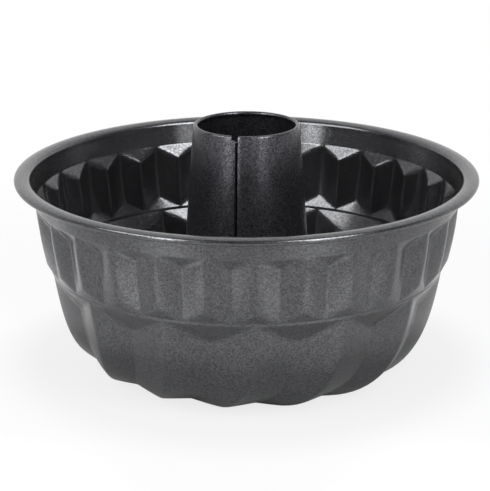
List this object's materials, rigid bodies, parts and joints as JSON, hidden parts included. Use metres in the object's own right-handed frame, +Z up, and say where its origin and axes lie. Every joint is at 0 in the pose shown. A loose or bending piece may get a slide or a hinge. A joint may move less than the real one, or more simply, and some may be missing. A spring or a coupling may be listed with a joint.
{
  "type": "fluted ring cake pan",
  "caption": "Round ring cake pan of coated steel: pleated upper band, swirled lower flutes, rolled flat rim and a tapered open chimney tube hemmed into the centre of the base.",
  "frame": {"origin": "centre of the circle of flute crests that the pan stands on, at the base plane", "axes": "+Z up along the chimney tube, -Y towards the side with the tube's seam"},
  "size_m": [0.2198, 0.2198, 0.118],
  "materials": {
    "shell_coating": "satin non-stick coating with fine metallic flake",
    "tube_coating": "satin non-stick coating with fine metallic flake"
  },
  "bodies": {
    "root": {"fluted_shell": "shell_coating", "chimney_tube": "tube_coating"}
  },
  "joints": []
}
